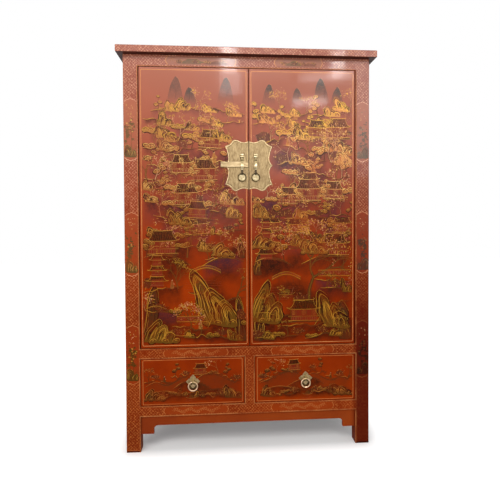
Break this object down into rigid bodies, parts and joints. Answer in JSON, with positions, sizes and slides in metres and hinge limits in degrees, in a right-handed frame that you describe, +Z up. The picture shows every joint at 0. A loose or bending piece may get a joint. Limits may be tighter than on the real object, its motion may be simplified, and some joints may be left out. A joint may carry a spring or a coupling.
{
  "type": "chinese wedding cabinet",
  "caption": "Tall red lacquered cabinet on square legs, with hinged doors over drawers, a lobed brass lock plate with a sliding bar, and gilt painted decoration.",
  "frame": {"origin": "on the floor under the middle of the top board, which is the middle of the bounding box's underside", "axes": "+Z up, -Y out of the front of the doors, +X to the right of a person who faces the doors"},
  "size_m": [1.17, 0.6, 1.82],
  "materials": {
    "red_lacquer": "semi-gloss red lacquer over wood",
    "dark_lacquer": "matt dark brown lacquer over wood",
    "bare_wood": "plain planed wood",
    "brass": "pale brushed brass"
  },
  "bodies": {
    "carcass": {"back_bottom_rail": "red_lacquer", "back_left_post": "red_lacquer", "back_panel": "dark_lacquer", "back_right_post": "red_lacquer", "back_top_rail": "red_lacquer", "bottom_board": "dark_lacquer", "compartment_floor": "dark_lacquer", "door_stop": "dark_lacquer", "drawer_divider": "red_lacquer", "drawer_runners": "bare_wood", "front_apron": "red_lacquer", "front_bottom_rail": "red_lacquer", "front_left_post": "red_lacquer", "front_middle_rail": "red_lacquer", "front_right_post": "red_lacquer", "front_top_rail": "red_lacquer", "left_apron": "red_lacquer", "left_bottom_rail": "red_lacquer", "left_side_panel": "red_lacquer", "left_top_rail": "red_lacquer", "lower_shelf": "dark_lacquer", "right_apron": "red_lacquer", "right_bottom_rail": "red_lacquer", "right_side_panel": "red_lacquer", "right_top_rail": "red_lacquer", "shelf_cleats": "dark_lacquer", "top_frame_back": "red_lacquer", "top_frame_front": "red_lacquer", "top_frame_left": "red_lacquer", "top_frame_right": "red_lacquer", "top_panel": "red_lacquer", "upper_shelf": "dark_lacquer"},
    "left_door": {"left_door_battens": "dark_lacquer", "left_door_panel": "red_lacquer", "left_door_stile": "red_lacquer", "left_lock_plate": "brass", "left_lug": "brass"},
    "right_door": {"right_door_battens": "dark_lacquer", "right_door_panel": "red_lacquer", "right_door_stile": "red_lacquer", "right_lock_plate": "brass", "right_lug": "brass"},
    "left_drawer": {"left_drawer_back": "bare_wood", "left_drawer_bottom": "bare_wood", "left_drawer_front": "red_lacquer", "left_drawer_inner_side": "bare_wood", "left_drawer_outer_side": "bare_wood", "left_drawer_pull": "brass"},
    "right_drawer": {"right_drawer_back": "bare_wood", "right_drawer_bottom": "bare_wood", "right_drawer_front": "red_lacquer", "right_drawer_inner_side": "bare_wood", "right_drawer_outer_side": "bare_wood", "right_drawer_pull": "brass"},
    "lock_bar": {"lock_bar": "brass"},
    "left_door_ring": {"left_door_ring": "brass"},
    "right_door_ring": {"right_door_ring": "brass"},
    "left_drawer_ring": {"left_drawer_ring": "brass"},
    "right_drawer_ring": {"right_drawer_ring": "brass"}
  },
  "joints": [
    {"name": "left_door_hinge", "type": "hinge", "parent": "carcass", "child": "left_door", "pos_m": [-0.4808, -0.255, 1.1], "axis": [0, 0, -1], "range_deg": [0, 100]},
    {"name": "left_drawer_slide", "type": "slide", "parent": "carcass", "child": "left_drawer", "axis": [0, -1, 0], "range_m": [0, 0.38]},
    {"name": "left_door_ring_swing", "type": "hinge", "parent": "left_door", "child": "left_door_ring", "pos_m": [-0.031, -0.2743, 1.2617], "axis": [-1, 0, 0], "range_deg": [0, 150]},
    {"name": "left_drawer_ring_swing", "type": "hinge", "parent": "left_drawer", "child": "left_drawer_ring", "pos_m": [-0.259, -0.2753, 0.31575], "axis": [-1, 0, 0], "range_deg": [0, 170]},
    {"name": "right_door_hinge", "type": "hinge", "parent": "carcass", "child": "right_door", "pos_m": [0.4808, -0.255, 1.1], "axis": [0, 0, 1], "range_deg": [0, 100]},
    {"name": "right_drawer_slide", "type": "slide", "parent": "carcass", "child": "right_drawer", "axis": [0, -1, 0], "range_m": [0, 0.38]},
    {"name": "right_door_ring_swing", "type": "hinge", "parent": "right_door", "child": "right_door_ring", "pos_m": [0.031, -0.2743, 1.2617], "axis": [-1, 0, 0], "range_deg": [0, 150]},
    {"name": "right_drawer_ring_swing", "type": "hinge", "parent": "right_drawer", "child": "right_drawer_ring", "pos_m": [0.259, -0.2753, 0.31575], "axis": [-1, 0, 0], "range_deg": [0, 170]},
    {"name": "lock_bar_slide", "type": "slide", "parent": "left_door", "child": "lock_bar", "axis": [1, 0, 0], "range_m": [-0.04, 0.065]}
  ]
}
